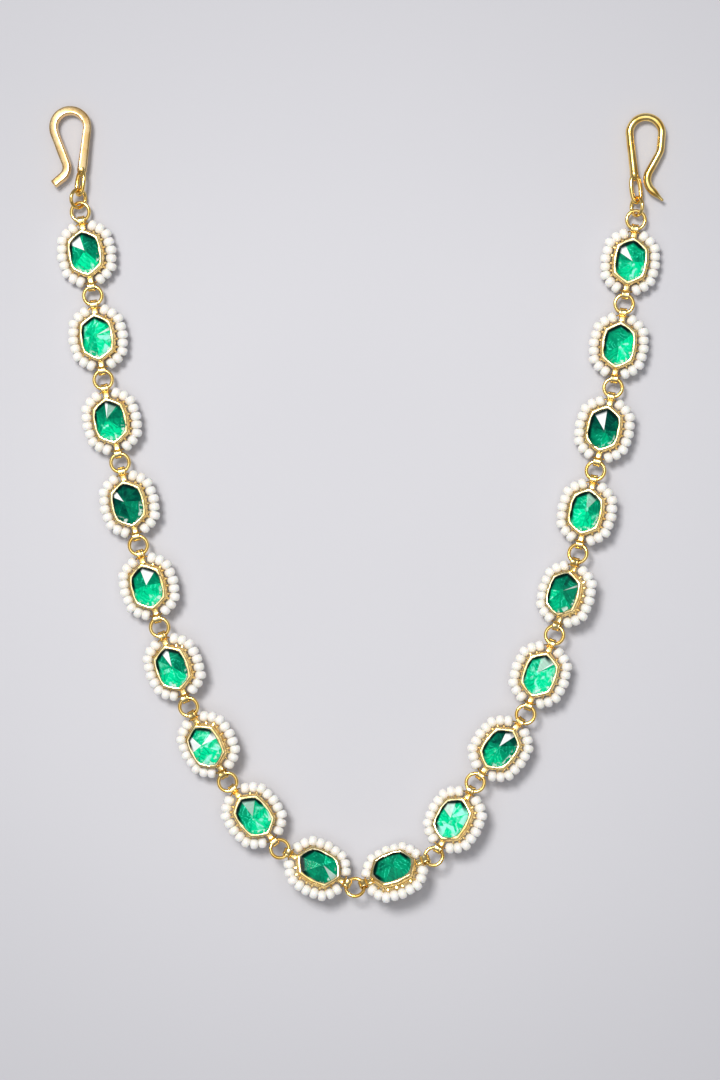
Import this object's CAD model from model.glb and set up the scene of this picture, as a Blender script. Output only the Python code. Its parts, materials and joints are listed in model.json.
"""A head chain of green stones in gold settings, edged with seed pearls, as it hangs from its two hooks.

The frame gives the place of every stone, ring and hook. Settings, stones, bails, pearls, wire and hooks
are surfaces worked out here from their sizes. Lengths are in millimetres up to the point where a mesh
is made, and MM turns them into metres. The view, the lights and the backdrop are in metres.
"""
import json
import math

import bpy
import numpy as np
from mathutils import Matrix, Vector


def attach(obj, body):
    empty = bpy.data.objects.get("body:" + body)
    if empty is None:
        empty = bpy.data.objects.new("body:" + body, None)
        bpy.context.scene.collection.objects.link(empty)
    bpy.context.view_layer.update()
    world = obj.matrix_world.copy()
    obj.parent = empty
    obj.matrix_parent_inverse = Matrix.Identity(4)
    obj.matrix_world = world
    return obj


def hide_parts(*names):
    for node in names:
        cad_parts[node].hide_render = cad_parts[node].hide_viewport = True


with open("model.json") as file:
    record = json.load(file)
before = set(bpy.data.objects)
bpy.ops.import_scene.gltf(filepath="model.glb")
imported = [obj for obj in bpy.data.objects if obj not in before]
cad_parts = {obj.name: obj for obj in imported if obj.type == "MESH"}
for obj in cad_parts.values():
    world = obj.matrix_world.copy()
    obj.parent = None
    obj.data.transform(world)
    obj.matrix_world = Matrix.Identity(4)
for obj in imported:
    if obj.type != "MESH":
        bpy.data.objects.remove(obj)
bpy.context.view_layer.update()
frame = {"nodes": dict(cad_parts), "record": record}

MM = 0.001
BODY = "root"
FRONT = np.array([0.0, -1.0, 0.0])
UP = np.array([0.0, 0.0, 1.0])

# The view: the point that it looks at, how far off the camera is, and the height that it takes in there.
VIEW_CENTRE = Vector((0.0557, 0.0, -0.0818))
VIEW_DISTANCE = 0.6
VIEW_HEIGHT = 0.2077
SENSOR = 36.0

# Heights in a setting from the axis of its bails, and offsets from the stone's girdle.
BACK_Z = -1.1
FLOOR_Z = -0.4
CULET_Z = -0.32
LIP_UNDER_Z = 2.413
LIP_Z = 2.613
LIP_COVER = 0.12
LIP_OUT = 0.43
FOOT_OUT = 0.63
STONE_GAP = 0.08
CORNER_R = 0.3

# The strip bails: the hole's axis from the stone's centre, the strip, its groove, and the neck to the wall.
BAIL_X = 6.378
BAIL_R = 0.825
BAIL_W = 1.42
BAIL_T = 0.35
BAIL_GROOVE = 0.06
NECK_W = 1.3
NECK_LOW = -0.85
NECK_HIGH = 0.45
NECK_FROM = 4.3

# How worn the gold is where the collet's own rows don't say: on the bails, and on the pearls' wire.
BAIL_WEAR = 0.5
WIRE_WEAR = 0.33

# The stones: the brightest level of a facet, the most flashes on one, and half its breadth across the light.
BRIGHTEST = 7
FLASHES = 2
HALF_BREADTH = 3.5

# The seed pearls, and the wire that they are strung on and stitched down with. BEAD_REACH is half a bead's
# length for the pitch of the row, so that neighbours press on each other.
PEARL_D = 2.25
PEARL_COUNT = 9
PEARL_OUT = 1.828
PEARL_END_Y = 1.895
BEAD_REACH = 0.52
BEAD_SQUARENESS = 2.8
BEAD_LEAN = 0.035
SLIMMEST_BEAD = 0.94
BORE_R = 0.3
PEARL_WIRE_R = 0.16
STITCH_R = 0.24
PEARL_SEED = 200

# The hooks' wire, how uneven and how worn it is, and the steps of its path along runs and, in degrees, bends.
HOOK_WIRE_D = 1.55
HOOK_UNEVEN = 0.025
HOOK_WORN = 0.01
RUN_STEP = 0.35
BEND_STEP = 4

# The hooks' eyes, and how far the solder runs up and down from the stem's foot.
EYE_W = 2.75
EYE_WIRE_D = 0.85
EYE_SQUARENESS = 2.3
SOLDER_UP = 0.7
SOLDER_DOWN = 0.45

# The backdrop: half its size, its gap behind the chain, and how far it leans for its height.
WALL_HALF = 1.2
WALL_GAP = 0.0004
WALL_LEAN = 0.026


def unit(v):
    """The vector or vectors v at length one."""
    return v / np.linalg.norm(v, axis=-1, keepdims=True)


def smooth(x, low, high):
    """Zero below low, one above high and an S-curve between."""
    t = np.clip((x - low) / (high - low), 0, 1)
    return t * t * (3 - 2 * t)


def waves(t, seed, lowest, highest):
    """A closed, gently uneven line over t from 0 to 1: a few sines of random phase, about -1 to 1."""
    rng = np.random.default_rng(seed)
    counts = np.arange(lowest, highest)
    phases = rng.uniform(0, 2 * np.pi, len(counts))
    sizes = rng.uniform(0.4, 1, len(counts)) / np.sqrt(len(counts))
    return (sizes * np.sin(2 * np.pi * counts * np.asarray(t)[..., None] + phases)).sum(-1)


def lengths_along(path):
    """The length of a path up to each of its points."""
    return np.append(0, np.cumsum(np.linalg.norm(np.diff(path, axis=0), axis=1)))


# Meshes

class Form:
    """Gathers grids of points, in millimetres, into one mesh."""

    def __init__(self):
        self.points = []
        self.faces = []
        self.count = 0

    def add(self, points, faces):
        """Points in any arrangement, and faces that number them from 0."""
        self.faces += [[self.count + i for i in face] for face in faces]
        self.points.append(points.reshape(-1, 3))
        self.count += points.size // 3

    def grid(self, points, closed=False):
        """A skin over stations by corners. Each station runs counter-clockwise seen from the next one.

        An open skin is capped at both ends."""
        stations, corners = points.shape[:2]
        index = np.arange(stations * corners).reshape(stations, corners)
        ahead = np.roll(index, -1, axis=0) if closed else index[1:]
        start = index if closed else index[:-1]
        quads = np.stack(
            [start, np.roll(start, -1, axis=1), np.roll(ahead, -1, axis=1), ahead], axis=-1
        ).reshape(-1, 4)
        faces = quads.tolist()
        if not closed:
            faces += [index[0, ::-1].tolist(), index[-1].tolist()]
        self.add(points, faces)

    def make(self, name, material, smooth_angle=35):
        """The object, riding on the body.

        Edges sharper than smooth_angle stay crisp, and 0 leaves every facet flat."""
        mesh = bpy.data.meshes.new(name)
        mesh.from_pydata(np.concatenate(self.points) * MM, [], self.faces)
        mesh.materials.append(material)
        if smooth_angle:
            mesh.shade_smooth()
            mesh.set_sharp_from_angle(angle=math.radians(smooth_angle))
        mesh.validate()
        piece = bpy.data.objects.new(name, mesh)
        bpy.context.scene.collection.objects.link(piece)
        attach(piece, BODY)
        return piece


def write_attribute(piece, name, values, domain="POINT"):
    """A number for each vertex or face of a piece, for its material to read."""
    layer = piece.data.attributes.new(name, "FLOAT", domain)
    layer.data.foreach_set("value", np.asarray(values, dtype=np.float32).ravel())


def sweep(path, section, side, closed=False):
    """A section carried along a path: point + a * e1 + b * e2.

    e1 is the direction side made square to the path and e2 is square to both, so (a, b) counter-clockwise
    makes a skin that faces outwards. The section is one for all or one for each station."""
    if closed:
        course = unit(np.roll(path, -1, axis=0) - np.roll(path, 1, axis=0))
    else:
        course = unit(np.gradient(path, axis=0))
    e1 = unit(side - (course @ side)[:, None] * course)
    e2 = np.cross(course, e1)
    a = section[..., 0, None]
    b = section[..., 1, None]
    return path[:, None] + a * e1[:, None] + b * e2[:, None]


def circle(sides):
    """A section: sides points on a circle of radius one."""
    t = np.arange(sides) * 2 * np.pi / sides
    return np.stack([np.cos(t), np.sin(t)], axis=-1)


def rounded_box(width, height, sides, squareness):
    """A section: the superellipse |2x/width|^n + |2y/height|^n = 1, with squareness for n."""
    t = (np.arange(sides) + 0.5) * 2 * np.pi / sides
    c = np.cos(t)
    s = np.sin(t)
    power = 2 / squareness
    x = width / 2 * np.sign(c) * np.abs(c) ** power
    y = height / 2 * np.sign(s) * np.abs(s) ** power
    return np.stack([x, y], axis=-1)


def tube(path, radius, side, sides=24, closed=False):
    """A round wire along a path, with one radius or one for each station."""
    radius = np.broadcast_to(radius, len(path))
    return sweep(path, circle(sides) * radius[:, None, None], side, closed)


def domed(path, radius, reach=1.0):
    """A wire's path and radii with a rounded end added at each end of it, reach radii long.

    Over the angle t a dome stands reach * r * sin t beyond the end, and its radius there is r * cos t."""
    t = np.linspace(0, 0.47 * np.pi, 6)[1:]
    first = path[0] + unit(path[0] - path[1]) * radius[0] * reach * np.sin(t)[::-1, None]
    last = path[-1] + unit(path[-1] - path[-2]) * radius[-1] * reach * np.sin(t)[:, None]
    return (
        np.concatenate([first, path, last]),
        np.concatenate([radius[0] * np.cos(t)[::-1], radius, radius[-1] * np.cos(t)]),
    )


# Materials

# Sockets of a colour Mix node, by number, as its names stand more than once.
MIX_FACTOR = 0
MIX_A = 6
MIX_B = 7
MIX_RESULT = 2


class Socket:
    """An output of a material's node. Sums, products and so on make the node that works them out."""

    def __init__(self, owner, output):
        self.owner = owner
        self.output = output

    def math(self, operation, a, b):
        """The socket of a new Math node, for two values or sockets."""
        return self.owner.node("ShaderNodeMath", {"operation": operation}, {0: a, 1: b})[0]

    def __add__(self, other):
        return self.math("ADD", self, other)

    def __radd__(self, other):
        return self.math("ADD", other, self)

    def __sub__(self, other):
        return self.math("SUBTRACT", self, other)

    def __rsub__(self, other):
        return self.math("SUBTRACT", other, self)

    def __mul__(self, other):
        return self.math("MULTIPLY", self, other)

    def __rmul__(self, other):
        return self.math("MULTIPLY", other, self)

    def between(self, low, high):
        """Zero below low, one above high and smooth between."""
        return self.owner.node(
            "ShaderNodeMapRange",
            {"interpolation_type": "SMOOTHSTEP"},
            {"Value": self, "From Min": low, "From Max": high},
        )[0]


class Made:
    """A node whose outputs are asked for by name or number."""

    def __init__(self, owner, node):
        self.owner = owner
        self.made = node

    def __getitem__(self, key):
        return Socket(self.owner, self.made.outputs[key])


class Material:
    """A node material round the Principled shader."""

    def __init__(self, name):
        self.material = bpy.data.materials.new(name)
        self.material.use_nodes = True
        self.tree = self.material.node_tree
        self.shader = self.tree.nodes["Principled BSDF"]

    def node(self, kind, settings=None, sockets=None):
        """Any node: its type, then its settings, then what goes into its sockets."""
        made = self.tree.nodes.new(kind)
        for key, value in (settings or {}).items():
            setattr(made, key, value)
        self.fill(made, sockets or {})
        return Made(self, made)

    def fill(self, node, sockets):
        """Links each socket that is given another node's output, and sets the rest."""
        for key, value in sockets.items():
            if isinstance(value, Socket):
                self.tree.links.new(value.output, node.inputs[key])
            else:
                node.inputs[key].default_value = value

    def shade(self, **sockets):
        """Sets the shader's sockets, with _ for the spaces in their names."""
        self.fill(self.shader, {key.replace("_", " "): value for key, value in sockets.items()})
        return self.material

    def mix(self, factor, a, b):
        """The colour between a and b."""
        return self.node(
            "ShaderNodeMix", {"data_type": "RGBA"}, {MIX_FACTOR: factor, MIX_A: a, MIX_B: b}
        )[MIX_RESULT]

    def place(self):
        """Where a point is on the object, in metres."""
        return self.node("ShaderNodeTexCoord")["Object"]

    def attribute(self, name):
        """A number written on the mesh."""
        return self.node("ShaderNodeAttribute", {"attribute_name": name})["Fac"]

    def noise(self, scale, detail=2.0, distortion=0.0, vector=None):
        """Noise of about 1 / scale metres across, from 0 to 1."""
        return self.node(
            "ShaderNodeTexNoise",
            {},
            {"Vector": vector or self.place(), "Scale": scale, "Detail": detail, "Distortion": distortion},
        )["Fac"]

    def bump(self, height, strength, distance, normal=None):
        """A normal from a height of up to distance metres."""
        sockets = {"Height": height, "Strength": strength, "Distance": distance}
        if normal is not None:
            sockets["Normal"] = normal
        return self.node("ShaderNodeBump", {}, sockets)[0]


# Each gold: its roughness, the strength of its dents, its pale colour and its deep colour.
SETTING_GOLD = (0.16, 0.3, (1.0, 0.80, 0.38, 1), (0.96, 0.65, 0.21, 1))
WIRE_GOLD = (0.1, 0.08, (1.0, 0.74, 0.27, 1), (0.88, 0.53, 0.11, 1))
BAND_GOLD = (0.18, 0.04, (0.94, 0.69, 0.35, 1), (0.83, 0.52, 0.20, 1))
BURNISHED_GOLD = (1.0, 0.89, 0.63, 1)
CREVICE_GOLD = (0.36, 0.15, 0.012, 1)


def gold(name, roughness, dents, pale, deep, worn=False):
    """Polished gold plate: pale yellow with deeper patches, cloudy polish, and shallow dents from the hand.

    Where it is worn, the mesh says how much: 1 on burnished metal, which is paler, and 0 in crevices."""
    m = Material(name)
    patches = m.noise(420, 3.0)
    cloud = m.noise(1900, 4.0)
    colour = m.mix(patches.between(0.35, 0.7), pale, deep)
    if worn:
        wear = m.attribute("wear")
        burnished = (wear + (cloud - 0.5) * 0.6).between(0.65, 1.05)
        colour = m.mix(burnished, colour, BURNISHED_GOLD)
        dull = (1 - wear.between(0.1, 0.5)) * 0.85
        colour = m.mix(dull, colour, CREVICE_GOLD)
    normal = m.bump(m.noise(900, 1.0), dents, 0.0001)
    normal = m.bump(m.noise(5200, 2.0), 0.04, 0.00002, normal)
    return m.shade(
        Base_Color=colour,
        Metallic=1.0,
        Roughness=roughness + 0.14 * cloud,
        Normal=normal,
    )


DEEP_GREEN = (0.0, 0.05, 0.036, 1)
MIDDLE_GREEN = (0.0, 0.27, 0.13, 1)
BRIGHT_GREEN = (0.0, 0.88, 0.37, 1)
CREASE_GREEN = (0.0, 0.12, 0.07, 1)
FOLD_GREEN = (0.05, 1.0, 0.62, 1)
HAZE_GREEN = (0.40, 1.0, 0.84, 1)
FLASH_WHITE = (0.97, 1.0, 0.99, 1)
RIM_SHADE = (0.0, 0.012, 0.01, 1)
GLINT_WHITE = (0.85, 1.0, 0.93, 1)


def foil(m):
    """Crinkled foil, shifted and turned from facet to facet so that its pattern breaks at their edges.

    It gives its clouds and its fine crinkle, and where its waves show as dark creases and as bright folds."""
    facet = m.attribute("facet")
    shift = m.node("ShaderNodeCombineXYZ", {}, {0: facet * 0.02, 1: facet * 0.013})[0]
    place = m.node("ShaderNodeVectorMath", {"operation": "ADD"}, {0: m.place(), 1: shift})[0]
    turned_place = m.node(
        "ShaderNodeVectorRotate", {"rotation_type": "Y_AXIS"}, {"Vector": place, "Angle": facet * 5.0}
    )[0]
    cloud = m.noise(420, 3.0, 1.0, place)
    crinkle = m.noise(1100, 3.0, 1.8, place)
    patch = m.noise(280, 1.0, 0.0, place)
    broken = m.noise(2600, 1.0, 0.0, place).between(0.36, 0.56)
    wave = m.node(
        "ShaderNodeTexWave",
        {},
        {"Vector": turned_place, "Scale": 430.0, "Distortion": 9.0, "Detail": 2.0, "Detail Scale": 1.3},
    )["Fac"]
    creases = (1 - wave).between(0.7, 1.0) * (1 - patch).between(0.42, 0.6) * 0.5
    folds = wave.between(0.72, 1.0) * broken * patch.between(0.45, 0.6)
    return cloud, crinkle, creases, folds


def flashed(m, colour, cloud):
    """The colour under the white flashes of a stone, and its gloss, which is higher on them."""
    gloss = 0.015
    for k in range(FLASHES):
        after_start = m.attribute("from_" + str(k)).between(0.0, 0.05)
        before_end = m.attribute("to_" + str(k)).between(0.0, 0.05)
        strength = m.attribute("flash_" + str(k)) * (1.0 - (cloud - 0.5) * 0.5)
        flash = after_start * before_end * strength
        colour = m.mix(flash, colour, FLASH_WHITE)
        gloss = gloss + flash * 0.8
    return colour, gloss


def green_stone():
    """A clear green cut over crinkled foil.

    Each facet has its own depth of green. Fine folds and creases of the foil run through it, pale haze lies
    over the brighter facets and a white flash over one or two wedges, and its rim is dark on the side
    where the lip shades it and glints on the other."""
    m = Material("green stone over foil")
    rim = m.attribute("rim")
    lit = m.attribute("lit")
    cloud, crinkle, creases, folds = foil(m)
    light = m.attribute("light") * 0.97 + (cloud - 0.5) * 0.7 + (crinkle - 0.5) * 0.25 - lit * 0.1
    haze = (cloud + m.attribute("haze") * 0.12).between(0.62, 0.75) * light.between(0.6, 1.0) * 0.9
    shade = rim.between(0.68, 0.85) * (0.15 + 0.85 * lit.between(-0.15, 0.4))
    glint = rim.between(0.7, 0.8) * (lit * -1).between(0.3, 0.7) * m.noise(1300, 2.0).between(0.5, 0.6)

    colour = m.mix(light.between(0.0, 0.5), DEEP_GREEN, MIDDLE_GREEN)
    colour = m.mix(light.between(0.4, 1.1), colour, BRIGHT_GREEN)
    colour = m.mix(creases, colour, CREASE_GREEN)
    colour = m.mix(folds * light.between(0.0, 0.9), colour, FOLD_GREEN)
    colour = m.mix(haze, colour, HAZE_GREEN)
    colour, gloss = flashed(m, colour, cloud)
    colour = m.mix(shade, colour, RIM_SHADE)
    colour = m.mix(glint * 0.7, colour, GLINT_WHITE)
    return m.shade(
        Base_Color=colour,
        Metallic=0.0,
        Roughness=0.3 + 0.2 * crinkle,
        Specular_IOR_Level=0.03,
        Normal=m.bump(crinkle, 0.15, 0.0002),
        Coat_Weight=gloss,
        Coat_Roughness=0.02,
        Coat_IOR=1.6,
    )


PALE_PEARL = (0.99, 0.95, 0.885, 1)
CREAM_PEARL = (0.95, 0.90, 0.82, 1)
CLOUDED_PEARL = (0.98, 0.945, 0.89, 1)


def pearl():
    """Cream pearl: satin, a little uneven in tone from bead to bead and over each bead."""
    m = Material("seed pearl")
    tone = m.attribute("tone")
    cloud = m.noise(700, 2.0)
    colour = m.mix(tone, PALE_PEARL, CREAM_PEARL)
    colour = m.mix(cloud.between(0.45, 0.75) * 0.5, colour, CLOUDED_PEARL)
    return m.shade(
        Base_Color=colour,
        Roughness=0.26 + 0.14 * cloud,
        Normal=m.bump(m.noise(1800, 2.0), 0.1, 0.00006),
        Subsurface_Weight=0.4,
        Subsurface_Radius=(0.0009, 0.0007, 0.0005),
        Subsurface_Scale=1.0,
        Coat_Weight=1.0,
        Coat_Roughness=0.06,
    )


GREY_PAINT = (0.617, 0.612, 0.645, 1)
PALE_PAINT = (0.657, 0.650, 0.677, 1)
OUTER_PAINT = (0.535, 0.53, 0.558, 1)


def wall_paint():
    """Pale grey paint, a little darker away from the middle of the view.

    From behind it is clear, so that the back of the chain shows there."""
    m = Material("wall")
    grain = m.noise(2500, 3.0)
    colour = m.mix(m.noise(12, 2.0), GREY_PAINT, PALE_PAINT)
    off = m.node("ShaderNodeVectorMath", {"operation": "DISTANCE"}, {0: m.place(), 1: VIEW_CENTRE})["Value"]
    m.shade(
        Base_Color=m.mix(off.between(0.04, 0.15), colour, OUTER_PAINT),
        Roughness=0.85,
        Normal=m.bump(grain, 0.08, 0.0001),
    )
    behind = m.node("ShaderNodeNewGeometry")["Backfacing"]
    clear = m.node("ShaderNodeBsdfTransparent")[0]
    paint = Socket(m, m.shader.outputs[0])
    seen = m.node("ShaderNodeMixShader", {}, {0: behind, 1: paint, 2: clear})[0]
    m.fill(m.tree.nodes["Material Output"], {"Surface": seen})
    return m.material


# Places from the frame

def points_of(node):
    """The different vertices of a CAD node, in millimetres."""
    mesh = frame["nodes"][node].data
    flat = np.empty(len(mesh.vertices) * 3, dtype=np.float32)
    mesh.vertices.foreach_get("co", flat)
    return np.unique((flat.reshape(-1, 3) / MM).round(4), axis=0)


class Place:
    """The frame of one stone and its setting: x along the chain, z out of its face, from its bails' axis."""

    def __init__(self, points, ahead):
        middle = points.mean(axis=0)
        # A stone is longest along x and thinnest along z.
        x, _, z = np.linalg.svd(points - middle)[2]
        self.x = x * np.sign(x @ ahead)
        self.z = z * np.sign(z @ FRONT)
        self.y = np.cross(self.z, self.x)
        culet = points[np.argmin(points @ self.z)]
        self.origin = culet - CULET_Z * self.z
        self.axes = np.stack([self.x, self.y, self.z])

    def out(self, points):
        """Points of this frame, in the chain's."""
        return self.origin + points @ self.axes

    def into(self, points):
        """Points of the chain, in this frame."""
        return (points - self.origin) @ self.axes.T


STONES = sorted(name for name in frame["nodes"] if name.startswith("stone_"))
NUMBERS = [name.split("_")[1] for name in STONES]
LINKS = sorted(name for name in frame["nodes"] if name.startswith("link_"))
CLOUDS = [points_of(name) for name in STONES]
MIDDLES = np.array([cloud.mean(axis=0) for cloud in CLOUDS])
COURSES = np.gradient(MIDDLES, axis=0)
PLACES = [Place(cloud, ahead) for cloud, ahead in zip(CLOUDS, COURSES)]
STONE = PLACES[0].into(CLOUDS[0])


def ring_at(level):
    """The stone's eight corners at one of its levels, counter-clockwise from its tip."""
    levels = np.unique(STONE[:, 2].round(2))
    near = 0.02
    corners = STONE[np.abs(STONE[:, 2] - levels[level]) < near]
    turn = np.arctan2(corners[:, 1], corners[:, 0]).round(3) % (2 * np.pi)
    return corners[np.argsort(turn)]


# How each stone was cut, as it hangs with its long axis upright: how bright its eight facets are from 0 to 7,
# clockwise from the upper right one; how far its point lies right of and above its middle; its white
# flashes, each from one angle to another, clockwise in degrees from the top, and how strong; and its haze.
CUTS = [
    ("22367444", (0.2, 0.3), [(-60, -12, 1.0)], 0.2),
    ("77775666", (0.0, 0.2), [(62, 74, 0.7)], 0.9),
    ("32366443", (-0.4, 0.4), [(2, 14, 1.0), (14, 46, 0.3)], 0.3),
    ("11221111", (-0.5, 0.5), [(-56, -26, 1.0)], 0.0),
    ("33566643", (0.1, 0.3), [(-10, 43, 1.0)], 0.3),
    ("32267654", (0.3, 0.2), [(-22, 4, 1.0)], 1.0),
    ("66677765", (-0.3, 0.5), [(-102, -28, 0.95), (62, 92, 0.9)], 1.0),
    ("45666544", (-0.2, 0.1), [(0, 46, 0.35)], 0.5),
    ("33543234", (0.4, -0.6), [(-172, -147, 0.5)], 0.1),
    ("44343434", (0.2, 0.1), [], 0.0),
    ("77777766", (0.0, 0.1), [(-70, -16, 0.6)], 1.2),
    ("12355321", (-0.3, 0.2), [(-12, 20, 1.0)], 0.1),
    ("57776655", (-0.6, 0.1), [(-4, 38, 0.45), (37, 43, 1.0)], 0.8),
    ("22245632", (0.0, 0.3), [(50, 58, 0.5)], 0.5),
    ("43467755", (0.3, 0.4), [(-13, 32, 0.3)], 0.3),
    ("01243211", (0.3, -0.4), [(-42, -4, 1.0)], 0.0),
    ("47775444", (0.1, 0.1), [], 0.4),
    ("44776535", (0.4, -0.2), [(-61, -30, 1.0)], 0.8),
]
# The side that the light comes from, in the plane of the chain.
LIGHT_SIDE = np.array([-0.6, 0.0, 0.8])

GIRDLE_LOW = ring_at(1)
GIRDLE_HIGH = ring_at(2)
TABLE = ring_at(3)
CULET = STONE[np.argmin(STONE[:, 2])]


class Outline:
    """The stone's outline with rounded corners, at any offset from the girdle.

    A point is c + (r + offset) * n. Along a side c runs from one corner's centre to the next and the
    normal n holds still, and round a corner c holds still and n turns. share says how far round each
    point is, and corner how near it is to a corner, both from 0 to 1."""

    def __init__(self, per_side=14, per_corner=5):
        corners = GIRDLE_HIGH[:, :2]
        step = np.roll(corners, -1, axis=0) - corners
        facing = np.arctan2(step[:, 1], step[:, 0]) - np.pi / 2
        before = np.roll(facing, 1)
        turn = (facing - before) % (2 * np.pi)
        middle = before + turn / 2
        inward = CORNER_R / np.cos(turn / 2)
        centres = corners - inward[:, None] * np.stack([np.cos(middle), np.sin(middle)], axis=-1)
        c = []
        angles = []
        for i in range(len(corners)):
            after = centres[(i + 1) % len(corners)]
            share = np.linspace(0, 1, per_side + 1)[1:-1, None]
            c.append(np.repeat(centres[i : i + 1], per_corner, axis=0))
            c.append(centres[i] + share * (after - centres[i]))
            angles.append(before[i] + np.linspace(0, 1, per_corner) * turn[i])
            angles.append(np.full(per_side - 1, facing[i]))
        self.centre = np.concatenate(c)
        angle = np.concatenate(angles)
        self.normal = np.stack([np.cos(angle), np.sin(angle)], axis=-1)
        self.share = np.arange(len(angle)) / len(angle)
        edge = self.at(0.0, 0.0)[:, :2]
        nearest = np.linalg.norm(edge[:, None] - corners, axis=-1).min(axis=1)
        self.corner = 1 - smooth(nearest, 0.1, 1.1)

    def at(self, offset, z):
        """The outline at an offset and a height, each one number or one for each point."""
        reach = np.broadcast_to(CORNER_R + offset, len(self.share))[:, None]
        height = np.broadcast_to(z, len(self.share))[:, None]
        return np.concatenate([self.centre + reach * self.normal, height], axis=1)


OUTLINE = Outline()


# The settings: wall, lip, back and two strip bails

def collet(seed):
    """The wall of a setting, lofted through its outline at offsets and heights, uneven by hand, and its wear.

    From the foot up: an upright wall with a lumpy ledge half way, a shallow groove, and a lip that is
    burnished in over the stone. The wear goes from 0 in crevices to 1 on burnished metal."""
    t = OUTLINE.share
    edge = waves(t, seed, 4, 12)
    slow = waves(t, seed + 50, 2, 7)
    lumps = waves(t, seed + 90, 16, 44)
    top = LIP_Z + 0.02 * slow - 0.02
    out = LIP_OUT - 0.015 + 0.02 * slow
    inner = -LIP_COVER + 0.03 * edge - 0.17 * OUTLINE.corner
    foot = FOOT_OUT - 0.03 + 0.04 * lumps
    belly = 0.5 * (FOOT_OUT + LIP_OUT) - 0.02 + 0.02 * slow
    groove = LIP_Z - 0.5 + 0.05 * slow

    # Each row is its offset, its height and its wear.
    rows = [
        (FOOT_OUT - 0.14, BACK_Z, 0.3),
        (FOOT_OUT - 0.05, BACK_Z + 0.03, 0.3),
        (FOOT_OUT - 0.02, BACK_Z + 0.12, 0.3),
        (FOOT_OUT - 0.04, 0.2, 0.4),
        (foot - 0.02, 0.6 + 0.05 * lumps, 0.5),
        (foot + 0.02, 0.8 + 0.05 * lumps, 0.65),
        (foot - 0.03, 0.96 + 0.05 * lumps, 0.45),
        (belly - 0.05, 1.1 + 0.04 * lumps, 0.2),
        (belly, 1.35, 0.55),
        (belly - 0.02, 1.65, 0.6),
        (out + 0.02, groove - 0.18, 0.4),
        (out - 0.05, groove, 0.1),
        (out, groove + 0.14, 0.4),
        (out - 0.005, LIP_Z - 0.21, 0.5),
        (out - 0.05, LIP_Z - 0.12 + 0.01 * slow, 0.5),
        (out - 0.13, top - 0.045, 0.5),
        (0.5 * out + 0.5 * inner, top + 0.012 * edge, 0.65),
        (inner + 0.12, top - 0.015, 1),
        (inner + 0.035, top - 0.065, 0.7),
        (inner, LIP_UNDER_Z + 0.04, 0.15),
        (inner + 0.02, LIP_UNDER_Z, 0.1),
        (STONE_GAP, LIP_UNDER_Z, 0),
        (STONE_GAP, FLOOR_Z, 0),
    ]
    walls = np.stack([OUTLINE.at(offset, z) for offset, z, _ in rows])
    return walls, np.repeat([wear for _, _, wear in rows], walls.shape[1])


def bail_band():
    """The loop of strip, carried once round the hole's axis: x = BAIL_X + BAIL_R * cos t, z = BAIL_R * sin t.

    Its section is a flat rounded box with raised edges and a shallow groove between them on the outside."""
    t = np.arange(40) * 2 * np.pi / 40
    path = np.stack([BAIL_X + BAIL_R * np.cos(t), 0 * t, BAIL_R * np.sin(t)], axis=-1)
    section = rounded_box(BAIL_W, BAIL_T, sides=24, squareness=6)
    outer = section[:, 1] > 0
    groove = BAIL_GROOVE * (1 - smooth(np.abs(section[:, 0]), 0.3, 0.5))
    section[:, 1] -= np.where(outer, groove, 0)
    return sweep(path, section, np.array([0.0, -1.0, 0.0]), closed=True)


def bail_neck():
    """The bar from wall to loop: a rounded box carried along x, times a waist that is 1 at the wall, a tenth
    less from its middle on, and nearly 1 again where it is soldered to the loop."""
    share = np.linspace(0, 1, 12)
    x = NECK_FROM + share * (BAIL_X - BAIL_R - NECK_FROM)
    waist = 1 - 0.1 * smooth(share, 0.1, 0.5) + 0.08 * smooth(share, 0.75, 0.95)
    path = np.stack([x, 0 * x, 0 * x + (NECK_LOW + NECK_HIGH) / 2], axis=-1)
    section = rounded_box(NECK_W, NECK_HIGH - NECK_LOW, sides=20, squareness=5)
    return sweep(path, section * waist[:, None, None], np.array([0.0, 1.0, 0.0]))


def turned(points):
    """Points turned half round about the face's normal, for the bail at the other tip."""
    return points * np.array([-1.0, -1.0, 1.0])


def make_settings(material):
    """A setting for each stone."""
    bands = [bail_band(), turned(bail_band())]
    necks = [bail_neck(), turned(bail_neck())]
    for i, (place, number) in enumerate(zip(PLACES, NUMBERS)):
        form = Form()
        walls, wear = collet(i)
        form.grid(place.out(walls))
        for band in bands:
            form.grid(place.out(band), closed=True)
        for neck in necks:
            form.grid(place.out(neck))
        piece = form.make("collet_" + number, material)
        bail_wear = np.full(form.count - len(wear), BAIL_WEAR)
        write_attribute(piece, "wear", np.concatenate([wear, bail_wear]))
        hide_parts("setting_" + number)


# The stones

def stone_faces(n):
    """Faces over three rings of n corners and the culet: table, girdle, crown, then pavilion."""
    low = list(range(n))
    high = [n + i for i in low]
    table = [2 * n + i for i in low]
    faces = [table]
    for lower, upper in ((low, high), (high, table)):
        faces += [[lower[i], lower[(i + 1) % n], upper[(i + 1) % n], upper[i]] for i in range(n)]
    return faces + [[3 * n, (i + 1) % n, i] for i in range(n)]


def write_flashes(piece, across, flashes):
    """For each flash, how far each corner lies past its two edges, and how strong it is.

    across is where the corners lie right of and above the point of the crown, as the stone hangs."""
    for k in range(FLASHES):
        start, end, strength = flashes[k] if k < len(flashes) else (0, 0, 0)
        for name, angle, sign in (("from", start, 1), ("to", end, -1)):
            a = math.radians(angle)
            beyond = sign * (across[:, 0] * math.cos(a) - across[:, 1] * math.sin(a))
            write_attribute(piece, name + "_" + str(k), beyond)
        write_attribute(piece, "flash_" + str(k), np.full(len(across), strength))


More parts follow.
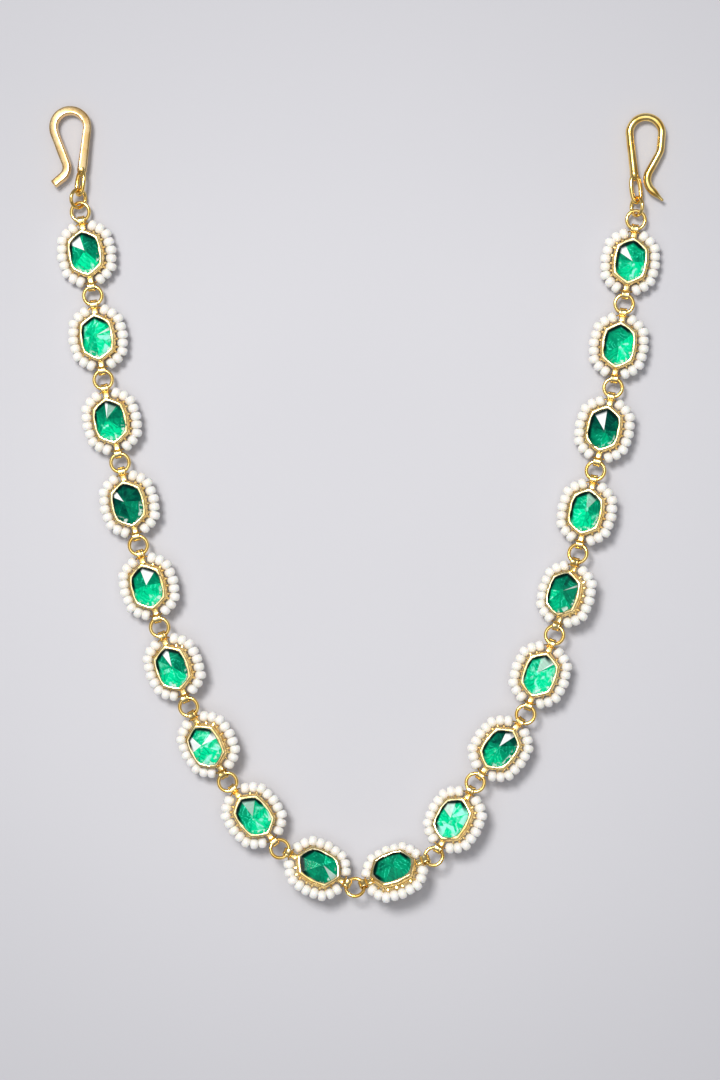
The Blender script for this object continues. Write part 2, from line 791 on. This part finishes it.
def make_stones(material):
    """Each stone as it was cut: its point off the middle, and its own light and dark facets."""
    n = len(TABLE)
    faces = stone_faces(n)
    for place, number, cut in zip(PLACES, NUMBERS, CUTS):
        facets, point, flashes, haze = cut
        # The left half of the strand hangs with x down and the right half with x up. first is the side that
        # has the facet at the upper right.
        upright = 1 if place.x @ UP > 0 else -1
        first = -1 if upright > 0 else 3
        shift = np.array([point[1] * upright, -point[0] * upright, 0])
        points = np.concatenate([GIRDLE_LOW, GIRDLE_HIGH, TABLE + shift, CULET[None]])
        form = Form()
        form.add(place.out(points), faces)
        piece = form.make("cut_" + number, material, 0)
        light = [int(facets[(first - i) % n]) / BRIGHTEST for i in range(n)]
        write_attribute(piece, "light", [np.mean(light)] + light + light + light, "FACE")
        # Five numbers in turn, so that the foil's pattern differs from each crown facet to the next.
        write_attribute(piece, "facet", np.arange(len(faces)) % 5 / 5, "FACE")
        write_attribute(piece, "rim", np.repeat([1, 1, 0, 1], [n, n, n, 1]))
        write_attribute(piece, "haze", np.full(len(points), haze))
        away = place.out(points) - place.out(shift)
        write_attribute(piece, "lit", away @ LIGHT_SIDE / HALF_BREADTH)
        across = (points - shift)[:, :2] @ np.array([[0.0, 1.0], [-1.0, 0.0]]) * upright
        write_flashes(piece, across, flashes)
        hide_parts("stone_" + number)


# The pearls and their wire

def pearl_route():
    """The route of one row, along the outline at one side of a setting, and its length up to each point."""
    whole = OUTLINE.at(PEARL_OUT, 0.0)
    top = whole[whole[:, 1] > PEARL_END_Y]
    first = np.flatnonzero(whole[:, 1] > PEARL_END_Y)[0]
    a = whole[first - 1]
    b = whole[first]
    end = a + (b - a) * (PEARL_END_Y - a[1]) / (b[1] - a[1])
    route = np.concatenate([[end], top, [end * [-1, 1, 1]]])
    return route, lengths_along(route)


ROUTE, ROUTE_LENGTHS = pearl_route()
PITCH = ROUTE_LENGTHS[-1] / (PEARL_COUNT - 1)


def on_route(s):
    """The route's points at lengths s, run on straight past its ends."""
    inside = np.stack([np.interp(s, ROUTE_LENGTHS, ROUTE[:, k]) for k in range(3)], axis=-1)
    start = unit(ROUTE[0] - ROUTE[3]) * np.maximum(-s, 0)[:, None]
    end = unit(ROUTE[-1] - ROUTE[-4]) * np.maximum(s - ROUTE_LENGTHS[-1], 0)[:, None]
    return inside + start + end


def bead_form(sides=12):
    """A drilled bead along x: the superellipse |x/h|^n + |r/R|^n = 1 turned round, and its bore.

    h is half the bead's length, R half its thickness and n BEAD_SQUARENESS."""
    t = np.radians([15, 36, 62, 90, 118, 144, 165])
    power = 2 / BEAD_SQUARENESS
    x = -PITCH * BEAD_REACH * np.sign(np.cos(t)) * np.abs(np.cos(t)) ** power
    r = PEARL_D / 2 * np.sin(t) ** power
    r[[0, -1]] = BORE_R
    around = circle(sides)
    return np.stack(
        [np.repeat(x[:, None], sides, axis=1), r[:, None] * around[:, 0], r[:, None] * around[:, 1]], axis=-1
    )


def strung_bead(bead, centre, course, rng):
    """A bead at its place on the wire, spun about it, leaning from it and slimmer by chance.

    The bead's x goes along the wire's course, plus a little of each of the two directions square to it."""
    spin = rng.uniform(0, 2 * np.pi)
    lean = rng.normal(0, BEAD_LEAN, 2)
    size = rng.uniform(SLIMMEST_BEAD, 1.0)
    axis = unit(course + lean[0] * np.cross([0, 0, 1], course) + lean[1] * np.array([0, 0, 1]))
    e1 = unit(np.cross([0, 0, 1], axis))
    e2 = np.cross(axis, e1)
    c = math.cos(spin)
    s = math.sin(spin)
    turn = np.array([[1, 0, 0], [0, c, -s], [0, s, c]])
    return centre + (bead * [1, size, size]) @ turn @ np.stack([axis, e1, e2])


def pearl_wire():
    """The wire through one row, and on at each end into the bail's neck."""
    path = on_route(np.linspace(-PITCH, ROUTE_LENGTHS[-1] + PITCH, 60))
    end = np.array([BAIL_X - 0.9, 0.3, -0.2])
    path[0] = end
    path[-1] = end * [-1, 1, 1]
    return tube(path, PEARL_WIRE_R, UP, 6)


def stitches(rng):
    """Short bent wires that come out of the wall, arch over and dip in between the beads of one row.

    Each is a round wire through four points: its place on the route + reach * inward + height * up."""
    s = PITCH * (np.arange(PEARL_COUNT - 1) + 0.5)
    at = on_route(s)
    course = unit(on_route(s + 0.2) - on_route(s - 0.2))
    inward = np.cross([0, 0, 1], course)
    reach = np.array([1.36, 1.24, 1.1, 0.94])
    height = np.array([0.6, 0.86, 0.8, 0.35])
    made = []
    for k in range(len(s)):
        path = at[k] + reach[:, None] * inward[k] + height[:, None] * [0, 0, rng.uniform(0.8, 1.1)]
        made.append(tube(path + course[k] * rng.uniform(-0.12, 0.12), STITCH_R, course[k], 6))
    return made


def make_pearls(material, wire_material):
    """Two rows of beads at each setting, and the wire through each row and on to the bails."""
    bead = bead_form()
    stations, sides = bead.shape[:2]
    wire_path = pearl_wire()
    s = PITCH * np.arange(PEARL_COUNT)
    centres = on_route(s)
    courses = unit(on_route(s + PITCH / 2) - on_route(s - PITCH / 2))
    for i, (place, number) in enumerate(zip(PLACES, NUMBERS)):
        rng = np.random.default_rng(PEARL_SEED + i)
        form = Form()
        wire = Form()
        tones = []
        for side in (1, -1):
            flip = np.array([side, side, 1.0])
            for centre, course in zip(centres, courses):
                form.grid(place.out(strung_bead(bead, centre, course, rng) * flip), closed=True)
                tones += [rng.uniform(0, 1)] * (stations * sides)
            wire.grid(place.out(wire_path * flip))
            for stitch in stitches(rng):
                wire.grid(place.out(stitch * flip))
        piece = form.make("pearls_" + number, material, 80)
        write_attribute(piece, "tone", tones)
        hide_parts("pearl_border_left" if i < len(PLACES) / 2 else "pearl_border_right")
        string = wire.make("pearl_wire_" + number, wire_material)
        write_attribute(string, "wear", np.full(wire.count, WIRE_WEAR))


# The hooks

def arm(rows, side):
    """The course of a wire from the crown's top, through runs and bends, and the heading that it ends with.

    It goes down the right side for side 1 and the left side for -1. Its heading h starts level and turns
    down, so it points along (side * cos h, -sin h)."""
    at = np.zeros(2)
    h = 0.0
    points = [at]
    for run, bend_r, turn in rows:
        ahead = np.array([side * math.cos(h), -math.sin(h)])
        if run:
            steps = max(2, int(run / RUN_STEP))
            points += [at + ahead * run * k / steps for k in range(1, steps + 1)]
            at = at + ahead * run
        if turn:
            r = math.copysign(bend_r, turn)
            centre = at + r * np.array([-side * math.sin(h), -math.cos(h)])
            steps = int(abs(turn) / BEND_STEP) + 1
            for k in range(1, steps + 1):
                b = h + math.radians(turn) * k / steps
                points.append(centre - r * np.array([-side * math.sin(b), -math.cos(b)]))
            at = points[-1]
            h += math.radians(turn)
    flat = np.array(points)
    return np.stack([flat[:, 0], 0 * flat[:, 0], flat[:, 1]], axis=-1), h


# How each hook is bent. Its stem is on the side that side says, 1 for the right and -1 for the left. It
# slants by some degrees from upright, and at its foot it is foot_d thick. The tail is rows of a straight
# run, then the radius and turn in degrees of the bend after it: the bends follow the crown, then turn back
# out, and the tip is tip_d thick. The eye is eye_l long over its wire, and is turned by eye_turn degrees
# about the stem. squareness, roll and end_l are the wire's section, how many degrees its front is turned
# outwards, and how long its rounded ends are for their radius. seed is for the unevenness of its surface.
HOOKS = {
    "left": {
        "side": 1,
        "crown_r": 3.2,
        "slant": 7,
        "stem_l": 8.1,
        "foot_d": 1.75,
        "tail": [(0, 3.2, 100), (0, 5, 11), (5.8, 2.4, -71), (2.1, 0, 0)],
        "tip_d": 1.55,
        "eye_l": 5.4,
        "eye_turn": 46,
        "squareness": 6,
        "roll": 13,
        "end_l": 0.25,
        "seed": 14,
    },
    "right": {
        "side": -1,
        "crown_r": 3.1,
        "slant": 6.5,
        "stem_l": 7.9,
        "foot_d": 1.6,
        "tail": [(0, 3.1, 95), (2.4, 4, 24), (3.6, 3, -76), (2.6, 0, 0)],
        "tip_d": 0.6,
        "eye_l": 6.0,
        "eye_turn": 20,
        "squareness": 2,
        "roll": 0,
        "end_l": 1.0,
        "seed": 15,
    },
}
# How the solder swells and tapers along its length, for the thickness of the stem's foot.
SOLDER = np.array([1.0, 1.04, 1.07, 1.06, 1.0, 0.9, 0.74])


def seat_of(name):
    """A mount of the record, in millimetres."""
    for mount in frame["record"]["mounts"]:
        if mount["name"] == name:
            return np.array(mount["pos_m"]) / MM
    raise ValueError("the record has no mount " + name)


def thickness(path, end_d, run):
    """The wire's thickness along a path, which changes to end_d over the last run of it."""
    length = lengths_along(path)
    return HOOK_WIRE_D + (end_d - HOOK_WIRE_D) * smooth(length, length[-1] - run, length[-1])


def hook_bow(hook, top, stem_path):
    """The wire from the tip of the tail, over the crown and down to the stem's foot, a little uneven.

    Its section is a superellipse as wide as the wire is thick. It is rolled outwards and carried along the
    wire's path."""
    tail_path, _ = arm(hook["tail"], -hook["side"])
    stem_d = thickness(stem_path, hook["foot_d"], hook["stem_l"])
    tail_d = thickness(tail_path, hook["tip_d"], hook["tail"][-1][0])
    path = np.concatenate([tail_path[::-1], stem_path[1:]])
    radius = np.concatenate([tail_d[::-1], stem_d[1:]]) / 2
    share = np.linspace(0, 1, len(path))
    radius = radius * (1 + HOOK_UNEVEN * waves(share, hook["seed"], 3, 14)) - HOOK_WORN
    path, radius = domed(path + top, radius, hook["end_l"])
    c = math.cos(math.radians(hook["roll"]))
    s = math.sin(math.radians(hook["roll"]))
    profile = rounded_box(2, 2, sides=32, squareness=hook["squareness"]) @ np.array([[c, -s], [s, c]])
    return sweep(path, profile * radius[:, None, None], FRONT)


def hook_eye(hook, foot, h):
    """The oval eye under the stem's foot, turned about the stem, and the blob of solder that holds it.

    The eye's wire follows a superellipse between the directions wide and down, and the solder is a round
    wire that swells and tapers. h is the heading of the stem, as arm gives it."""
    side = hook["side"]
    down = np.array([side * math.cos(h), 0, -math.sin(h)])
    across = np.array([-side * math.sin(h), 0, -math.cos(h)])
    turn = math.radians(hook["eye_turn"])
    wide = across * math.cos(turn) + np.array([0, math.sin(turn), 0])
    reach = hook["eye_l"] - EYE_WIRE_D
    oval = rounded_box(EYE_W - EYE_WIRE_D, reach, sides=48, squareness=EYE_SQUARENESS) - [0, reach / 2]
    oval = foot + oval[:, :1] * wide - oval[:, 1:] * down
    solder = foot + down * np.linspace(-SOLDER_UP, SOLDER_DOWN, len(SOLDER))[:, None]
    form = Form()
    form.grid(tube(oval, EYE_WIRE_D / 2, np.cross(wide, down), 16, closed=True), closed=True)
    form.grid(tube(*domed(solder, hook["foot_d"] / 2 * SOLDER), FRONT))
    return form


def make_hook(end, material, eye_material):
    """A wire hook as HOOKS has it: the bow, from tail to stem, and the eye with its solder."""
    hook = HOOKS[end]
    top = seat_of("hook_" + end + "_seat") + np.array([0, 0, HOOK_WIRE_D / 2])
    stem_path, h = arm([(0, hook["crown_r"], 90 + hook["slant"]), (hook["stem_l"], 0, 0)], hook["side"])
    form = Form()
    form.grid(hook_bow(hook, top, stem_path))
    bow = form.make("wire_hook_" + end, material, 50)
    form = hook_eye(hook, stem_path[-1] + top, h)
    loop = form.make("wire_hook_" + end + "_eye", eye_material, 50)
    return [bow, loop]


def make_hooks(band, wire):
    """Both hooks: the left bow is of squarish satin wire, and the right bow and both eyes of round wire."""
    for piece in make_hook("left", band, wire):
        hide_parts("hook_left")
    for piece in make_hook("right", wire, wire):
        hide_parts("hook_right")


# Backdrop, light and camera

def make_wall(material):
    """A backdrop close behind the chain, a little further off at the bottom.

    It is the plane y = nearest + WALL_GAP - WALL_LEAN * z, where nearest just clears the CAD nodes."""
    solids = np.concatenate([points_of(name) for name in frame["nodes"]]) * MM
    nearest = (solids[:, 1] + WALL_LEAN * solids[:, 2]).max()
    mesh = bpy.data.meshes.new("wall")
    corners = [(x * WALL_HALF, z * WALL_HALF) for x, z in ((-1, -1), (1, -1), (1, 1), (-1, 1))]
    points = [
        (VIEW_CENTRE.x + x, nearest + WALL_GAP - WALL_LEAN * (VIEW_CENTRE.z + z), VIEW_CENTRE.z + z)
        for x, z in corners
    ]
    mesh.from_pydata(points, [], [[0, 1, 2, 3]])
    mesh.materials.append(material)
    wall = bpy.data.objects.new("wall", mesh)
    bpy.context.scene.collection.objects.link(wall)


def area_light(name, direction, distance, size, power, colour):
    """A square soft light that faces the middle of the view from a direction."""
    light = bpy.data.lights.new(name, "AREA")
    light.shape = "SQUARE"
    light.size = size
    light.energy = power
    light.color = colour
    lamp = bpy.data.objects.new(name, light)
    away = Vector(direction).normalized()
    lamp.location = VIEW_CENTRE + away * distance
    lamp.rotation_mode = "QUATERNION"
    lamp.rotation_quaternion = away.to_track_quat("Z", "Y")
    bpy.context.scene.collection.objects.link(lamp)


# Each light: the direction it is in from the middle of the view, its distance, size, power and colour.
KEY = ((-0.24, -1.0, 0.32), 1.4, 0.33, 14.0, (1.0, 0.985, 0.96))
CARD = ((-0.1, -1.0, 0.02), 0.9, 0.9, 2.7, (1.0, 1.0, 1.0))
ROOM_COLOUR = (0.80, 0.84, 0.92, 1)
ROOM_STRENGTH = 0.275


def make_light():
    """A small key from the upper left, a wide soft card in front and a dim grey room."""
    area_light("key", *KEY)
    area_light("card", *CARD)
    world = bpy.data.worlds.new("room")
    world.use_nodes = True
    shade = world.node_tree.nodes["Background"]
    shade.inputs["Color"].default_value = ROOM_COLOUR
    shade.inputs["Strength"].default_value = ROOM_STRENGTH
    bpy.context.scene.world = world


def make_camera():
    """Straight on to the middle of the view."""
    camera = bpy.data.cameras.new("camera")
    camera.sensor_width = SENSOR
    camera.lens = SENSOR * VIEW_DISTANCE / VIEW_HEIGHT
    eye = bpy.data.objects.new("camera", camera)
    eye.location = VIEW_CENTRE + Vector((0, -VIEW_DISTANCE, 0))
    eye.rotation_euler = (math.pi / 2, 0, 0)
    bpy.context.scene.collection.objects.link(eye)
    bpy.context.scene.camera = eye


def main():
    """Everything in the scene, in the order it is made."""
    setting_gold = gold("gold of the settings", *SETTING_GOLD, worn=True)
    wire_gold = gold("gold of the wire", *WIRE_GOLD)
    band_gold = gold("gold of the band", *BAND_GOLD)
    make_settings(setting_gold)
    make_stones(green_stone())
    make_pearls(pearl(), setting_gold)
    make_hooks(band_gold, wire_gold)
    for name in [*LINKS, "end_links_left", "end_links_right"]:
        mesh = frame["nodes"][name].data
        mesh.materials.clear()
        mesh.materials.append(wire_gold)
    make_wall(wall_paint())
    make_light()
    make_camera()
    bpy.context.scene.view_settings.view_transform = "Standard"


main()
